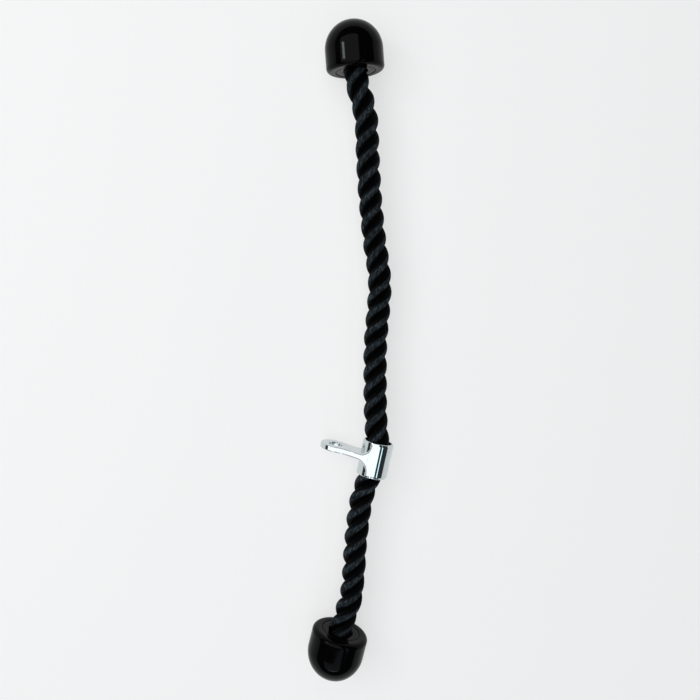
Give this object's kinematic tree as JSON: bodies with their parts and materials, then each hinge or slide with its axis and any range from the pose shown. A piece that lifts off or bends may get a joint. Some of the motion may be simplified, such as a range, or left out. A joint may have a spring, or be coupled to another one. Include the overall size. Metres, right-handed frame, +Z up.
{
  "type": "triceps rope attachment",
  "caption": "Thick laid rope with a domed cap on each end and a plated sleeve with an eye that turns on it, laid out in a gentle curve.",
  "frame": {"origin": "on the ground, under the middle of the box round the caps and the fitting", "axes": "+Z up, +Y along the attachment towards the cap on the longer half, -X towards the eye"},
  "size_m": [0.0906, 0.6898, 0.06],
  "materials": {
    "rope": "black three-strand laid rope of fine filament yarn",
    "cap": "glossy black moulding",
    "fitting": "bright plated casting",
    "hardware": "zinc plated steel"
  },
  "bodies": {
    "rope_middle": {"rope_centre": "rope", "rope_bend_upper": "rope", "rope_bend_lower": "rope"},
    "clamp": {"eye_clamp": "fitting"},
    "upper_half": {"rope_upper": "rope", "cap_shell_upper": "cap", "cap_ring_upper": "cap", "stop_washer_upper": "hardware", "ferrule_upper": "hardware", "rope_end_upper": "rope"},
    "lower_half": {"rope_lower": "rope", "cap_shell_lower": "cap", "cap_ring_lower": "cap", "stop_washer_lower": "hardware", "ferrule_lower": "hardware", "rope_end_lower": "rope"}
  },
  "joints": [
    {"name": "clamp_swivel", "type": "hinge", "parent": "rope_middle", "child": "clamp", "pos_m": [0.0256, -0.1077, 0.03], "axis": [0.2113, 0.9774, 0], "continuous": true},
    {"name": "upper_fold", "type": "hinge", "parent": "rope_middle", "child": "upper_half", "pos_m": [0.02771, -0.05244, 0.02933], "axis": [0, 0, -1], "range_deg": [-90, 90], "deforming": ["rope_bend_upper"]},
    {"name": "lower_fold", "type": "hinge", "parent": "rope_middle", "child": "lower_half", "pos_m": [0.01378, -0.16178, 0.03], "axis": [0, 0, 1], "range_deg": [-90, 90], "deforming": ["rope_bend_lower"]}
  ]
}
